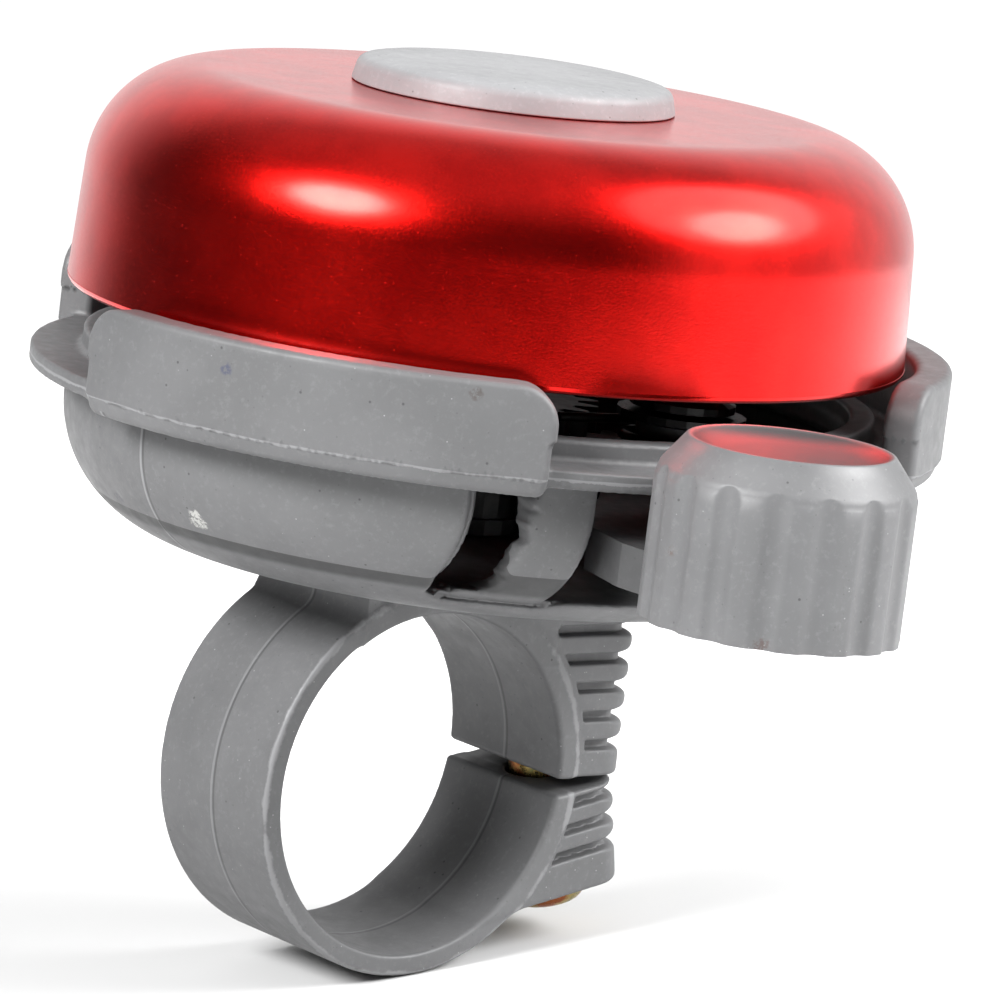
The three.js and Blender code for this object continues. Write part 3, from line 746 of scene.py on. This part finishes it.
def dress(piece, body, slot, material=None, stands_for=()):
    """Gives a piece its material and its body, and hides the CAD nodes that it stands for."""
    piece.data.materials.clear()
    piece.data.materials.append(MATERIALS[material or slot])
    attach(piece, body)
    if stands_for:
        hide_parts(*stands_for)
    return piece


# ---------------------------------------------------------------- pieces
def base_housing():
    """The base is one moulding, made as two pieces that meet under the bowl."""
    bowl = surface_net("base_bowl", bowl_field, (-32, -26.6, 13.4), (32, 37.4, 31.5), 0.32)
    clamp = surface_net("clamp_ring", clamp_field, (-8, -15.5, -14), (8, 19.2, 15.9), 0.22)
    for piece in (bowl, clamp):
        dress(piece, "housing", "grey_plastic", stands_for=["base_housing"])


def dome():
    """The spun dome, with its rolled rim and the well that the cap sits in."""
    taper = math.radians(DOME["taper"])
    top_r = DOME["r"] - DOME["side"] * math.sin(taper)
    top_z = RIM_Z + DOME["side"] * math.cos(taper)
    cx = top_r - DOME["shoulder"] * math.cos(taper)
    cz = top_z - DOME["shoulder"] * math.sin(taper)
    last = 90 - DOME["slope"]
    shoulder = arc(cx, cz, DOME["shoulder"], DOME["taper"], last, 28)
    end_r, end_z = shoulder[-1]
    well_r, well_z, wall = WELL["r"], WELL["z"], DOME["wall"]
    rise = 0.04
    crown = end_z + rise
    side = [
        (DOME["r"] - t * (DOME["r"] - top_r), RIM_Z + t * (top_z - RIM_Z))
        for t in np.linspace(0.06, 0.95, 12)
    ]
    across = np.linspace(end_r, well_r + 1.4, 14)[1:]
    slope_z = [end_z + rise * (end_r - r) / (end_r - well_r - 1.2) for r in across]
    outer = side + shoulder + list(zip(across, slope_z))
    well = rounded(
        [(well_r + 1.2, crown, 0), (well_r, crown - 0.5, 0.4), (well_r - 0.4, well_z, 0.4),
         (2.6, well_z, 0)]
    )
    under = rounded(
        [(2.6, well_z - wall, 0), (well_r + 0.7, well_z - wall, 0.5),
         (well_r + 1.6, crown - wall - 0.05, 0.5), (cx, crown - wall - 0.04, 0)]
    )
    inside = arc(cx, cz, DOME["shoulder"] - wall, last, DOME["taper"], 16)
    inside.append((DOME["r"] - wall - 0.02, RIM_Z + 0.3))
    lip = arc(DOME["r"] - wall / 2, RIM_Z + wall / 2, wall / 2, 180, 358, 8)
    piece = turned("dome_shell", outer + well + under + inside + lip, 256, closed=True, sharp=50)
    dress(piece, "housing", "red_anodised", stands_for=["dome"])


def top_cap():
    """The low cap: a steep rounded side and a nearly flat top, with its snap skirt below."""
    low = 43.6
    profile = rounded(
        [(0, low, 0), (7.2, low, 0.2), (8.1, low, 0.2), (8.2, CAP_SEAM, 0.1),
         (CAP_R, CAP_SEAM, 0.14), (CAP_R - 0.35, CAP_SEAM + 1.5, 0.55),
         (8.8, CAP_SEAM + 1.85, 1.2), (0, CAP_SEAM + 1.97, 0)],
        8,
    )
    piece = turned("cap_button", profile, 160)
    dress(piece, "housing", "cap_plastic", stands_for=["top_cap"])


def thumb_knob():
    """The knob: concave flutes that stop under a bevel with rounded edges, and a shallow dish."""
    pitch = 2 * math.pi / KNOB["flutes"]

    def fluted(angle, r, z):
        off = (angle + pitch / 2) % pitch - pitch / 2
        along = KNOB["r"] * off
        depth = math.sqrt(max(1.3**2 - along**2, 0.0)) - 0.99
        soft = 0.5 * (depth + math.sqrt(depth**2 + 0.008))
        side = KNOB["r"] - soft
        return r if z < KNOB["low"] + 0.1 and r < 7 else min(r, side)

    shoulder, high, low, inside = KNOB["shoulder"] - 0.5, KNOB["high"], KNOB["low"], 19.4
    foot = rounded(
        [(0, inside, 0), (6.6, inside, 0.3), (6.8, low, 0.3), (KNOB["r"], low, 0.35)], 4
    )
    wall = [(KNOB["r"], z) for z in np.linspace(low + 0.4, shoulder - 0.1, 10)]
    bevel = rounded(
        [(8.12, shoulder, 0), (8.0, shoulder + 0.5, 0.45), (6.45, high, 0.5),
         (6.1, high - 0.08, 0)],
        10,
    )
    dish = rounded(
        [(6.0, high - 0.16, 0), (5.0, high - 0.6, 0.8), (3.0, high - 0.95, 1.2),
         (0, high - 1.05, 0)],
        6,
    )
    place = (KNOB["x"], BELL_Y + KNOB["y"])
    profile = foot + wall + bevel + dish
    piece = turned("knob_fluted", profile, KNOB["flutes"] * 18, place, fluted, sharp=60)
    dress(piece, "lever", "grey_plastic", "knob_plastic", ["thumb_knob"])


def lever_spring():
    """Round wire: a short leg, the coil round the lever's hub, and the leg over the arm."""
    curve = bpy.data.curves.new("spring_wire", "CURVE")
    curve.dimensions = "3D"
    curve.bevel_depth = SPRING["wire"] * MM
    curve.bevel_resolution = 4
    curve.use_fill_caps = True
    path = [(9.0, -58, SPRING["low"])]
    steps = 60
    for i in range(steps + 1):
        turn = SPRING["turns"] * i / steps
        path.append((SPRING["r"], -20 + 360 * turn, SPRING["low"] + SPRING["rise"] * turn))
    path.append((8.2, 235, SPRING["low"] + SPRING["rise"] * SPRING["turns"]))
    spline = curve.splines.new("POLY")
    spline.points.add(len(path) - 1)
    for point, (r, degrees, z) in zip(spline.points, path):
        x = LEVER["x"] + r * math.cos(math.radians(degrees))
        y = BELL_Y + LEVER["y"] + r * math.sin(math.radians(degrees))
        point.co = (x * MM, y * MM, z * MM, 1)
    dress(link("spring_wire", curve), "housing", "steel", stands_for=["lever_spring"])


def clamp_hardware():
    """The yellow-zinc pan head, its washer and shank, leaning with the lower ear."""
    tilt = Matrix.Rotation(math.radians(LOWER_EAR["tilt"]), 4, "X")
    low = LOWER_EAR["bottom"] - SCREW_HEAD_DROP
    tip = SCREW["tip"]
    head = rounded(
        [(0, low - 0.7, 0), (0.9, low - 0.7, 0.1), (1.0, low - 1.55, 0.15),
         (1.8, low - 1.6, 0.6), (3.0, low - 1.1, 0.8), (3.4, low, 0.3), (1.8, low, 0.05),
         (1.8, tip - 0.4, 0.2), (1.4, tip, 0), (0, tip, 0)]
    )
    screw = turned("clamp_screw_zinc", head, 64, (0, SCREW["v"]))
    ring = rounded(
        [(2.1, low + 0.1, 0), (3.9, low + 0.1, 0.12), (3.9, low + 0.6, 0.12),
         (2.1, low + 0.6, 0)]
    )
    washer = turned("clamp_washer_zinc", ring, 64, (0, SCREW["v"]), closed=True)
    for piece, node in ((screw, "clamp_screw"), (washer, "clamp_washer")):
        piece.data.transform(tilt)
        dress(piece, "housing", "yellow_zinc", stands_for=[node])
    nut = softened_copy("clamp_nut_zinc", "clamp_nut", 0.2)
    dress(nut, "housing", "yellow_zinc", stands_for=["clamp_nut"])


def mechanism():
    """The parts inside: the CAD's shapes with rounded edges."""
    parts = (
        # The lever arm takes the shaded copy of the grey plastic: painted shade.
        ("lever_arm", "thumb_lever", "lever", "grey_plastic", "lever_plastic_shaded", 0.22),
        ("idler_wheel", "idler_gear", "idler", "dark_plastic", None, 0.1),
        ("rotor_gear", "rotor_pinion", "rotor", "dark_plastic", None, 0.1),
        ("striker_plate", "striker_carrier", "rotor", "steel", None, 0.15),
        ("dome_hex_nut", "dome_nut", "housing", "steel", None, 0.2),
    )
    for name, node, body, slot, material, width in parts:
        dress(softened_copy(name, node, width), body, slot, material, [node])


def carried_over():
    """The CAD nodes that still show, the pins and washers, get the steel."""
    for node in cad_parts.values():
        if node.hide_render:
            continue
        node.data.materials.clear()
        node.data.materials.append(MATERIALS["steel"])


# ---------------------------------------------------------------- stage, lights and camera
# Softboxes and the lamps in them: bearing, elevation, width, height, distance and radiance.
SOFTBOXES = {
    "left_softbox": (-48, 29, 0.29, 0.31, 0.60, 9.0),
    "left_lamp": (-47, 29, 0.25, 0.20, 0.58, 37.0),
    "right_softbox": (84, 44, 0.60, 0.50, 0.60, 6.0),
    "right_lamp": (79, 36, 0.28, 0.22, 0.58, 21.0),
}


def view_axes():
    """The camera's right, up and backward directions."""
    azimuth, elevation, roll = (math.radians(CAMERA[k]) for k in ("azimuth", "elevation", "roll"))
    level = math.cos(elevation)
    back = Vector((math.sin(azimuth) * level, -math.cos(azimuth) * level, math.sin(elevation)))
    right = Vector((0, 0, 1)).cross(back).normalized()
    up = back.cross(right)
    turned_right = right * math.cos(roll) + up * math.sin(roll)
    turned_up = up * math.cos(roll) - right * math.sin(roll)
    return turned_right, turned_up, back


def add_camera():
    right, up, back = view_axes()
    centre = Vector((0, BELL_Y, RIM_Z))
    place = centre - right * FRAMING[0] - up * FRAMING[1] + back * CAMERA["distance"]
    data = bpy.data.cameras.new("camera")
    data.lens = CAMERA["lens"]
    data.sensor_width = 36
    data.clip_start = 0.01
    camera = link("camera", data)
    axes = Matrix((right, up, back)).transposed().to_4x4()
    camera.matrix_world = Matrix.Translation(place * MM) @ axes
    bpy.context.scene.camera = camera


def aim(bearing, elevation):
    """A direction seen from the bell: bearing is to the right of the camera, in degrees."""
    azimuth = math.radians(CAMERA["azimuth"] - 90 + bearing)
    e = math.radians(elevation)
    return Vector((math.cos(azimuth) * math.cos(e), math.sin(azimuth) * math.cos(e), math.sin(e)))


def add_softbox(name, bearing, elevation, width, height, distance, radiance):
    """An oval area light that faces the bell."""
    data = bpy.data.lights.new(name, "AREA")
    data.shape = "ELLIPSE"
    data.size = width
    data.size_y = height
    data.energy = radiance * math.pi * width * height * math.pi / 4
    light = link(name, data)
    direction = aim(bearing, elevation)
    light.location = Vector((0, BELL_Y * MM, 0.035)) + direction * distance
    light.rotation_euler = direction.to_track_quat("Z", "Y").to_euler()


def add_world():
    """A pale studio: bright behind and to the right, darker round the camera, half-bright above."""
    world = bpy.data.worlds.new("studio")
    bpy.context.scene.world = world
    world.use_nodes = True
    tree = world.node_tree
    out = tree.nodes["World Output"]
    seen = tree.nodes["Background"]
    seen.inputs["Color"].default_value = (1, 1, 1, 1)
    seen.inputs["Strength"].default_value = 1.05
    direction = tree.nodes.new("ShaderNodeTexCoord").outputs["Generated"]

    def share(axis, low, high):
        dot = tree.nodes.new("ShaderNodeVectorMath")
        dot.operation = "DOT_PRODUCT"
        dot.inputs[1].default_value = axis
        tree.links.new(direction, dot.inputs[0])
        ramp = tree.nodes.new("ShaderNodeMapRange")
        ramp.interpolation_type = "SMOOTHSTEP"
        ramp.inputs["From Min"].default_value = low
        ramp.inputs["From Max"].default_value = high
        tree.links.new(dot.outputs["Value"], ramp.inputs["Value"])
        return ramp.outputs[0]

    def combine(operation, a, b):
        node = tree.nodes.new("ShaderNodeMath")
        node.operation = operation
        for value, socket in ((a, node.inputs[0]), (b, node.inputs[1])):
            if isinstance(value, float):
                socket.default_value = value
            else:
                tree.links.new(value, socket)
        return node.outputs[0]

    behind = combine("MULTIPLY", share(aim(180, 10), 0.35, 0.9), 1.12)
    right = combine("MULTIPLY", share(aim(100, 0), 0.45, 0.85), 1.2)
    above = combine("MULTIPLY", share((0, 0, 1), 0.45, 1.0), 0.7)
    level = combine("MAXIMUM", combine("MAXIMUM", behind, right), above)
    level = combine("ADD", level, 0.11)
    light = tree.nodes.new("ShaderNodeBackground")
    tree.links.new(level, light.inputs["Strength"])
    path = tree.nodes.new("ShaderNodeLightPath")
    chooser = tree.nodes.new("ShaderNodeMixShader")
    tree.links.new(path.outputs["Is Camera Ray"], chooser.inputs[0])
    tree.links.new(light.outputs[0], chooser.inputs[1])
    tree.links.new(seen.outputs[0], chooser.inputs[2])
    tree.links.new(chooser.outputs[0], out.inputs["Surface"])


def floor_material():
    """White, painted greyer near the bell as a painted shadow."""
    s = Shader("pale_floor")
    # Painted shadow: the floor is greyer within a few centimetres of the bell.
    away = s.ramp(hypotenuse(s, s.x, s.y), 28.0, 75.0)
    away = s.math("ADD", away, s.math("MULTIPLY", s.noise(0.02), 0.04))
    colour = s.mix(away, (0.60, 0.60, 0.60, 1.0), (0.81, 0.81, 0.81, 1.0))
    return s.set(Base_Color=colour, Roughness=0.9, Specular_IOR_Level=0.0)


def add_floor():
    """A round white table top, level in the camera's view, under the ring's lowest point."""
    _, up, back = view_axes()
    e = math.radians(CAMERA["elevation"])
    normal = (up * math.cos(e) + back * math.sin(e)).normalized()
    lowest = min(
        (piece.matrix_world @ vertex.co).dot(normal)
        for piece in (bpy.data.objects["clamp_ring"], bpy.data.objects["clamp_screw_zinc"])
        for vertex in piece.data.vertices
    )
    mesh = bmesh.new()
    bmesh.ops.create_circle(mesh, cap_ends=True, radius=FLOOR_RADIUS * MM, segments=96)
    data = bpy.data.meshes.new("floor")
    mesh.to_mesh(data)
    mesh.free()
    floor = link("floor", data)
    floor.rotation_euler = normal.to_track_quat("Z", "Y").to_euler()
    floor.location = normal * (lowest - 0.0001)
    data.materials.append(floor_material())


add_camera()
base_housing()
dome()
top_cap()
thumb_knob()
lever_spring()
clamp_hardware()
mechanism()
carried_over()
add_floor()
add_world()
for softbox, settings in SOFTBOXES.items():
    add_softbox(softbox, *settings)
bpy.context.scene.view_settings.view_transform = "Standard"
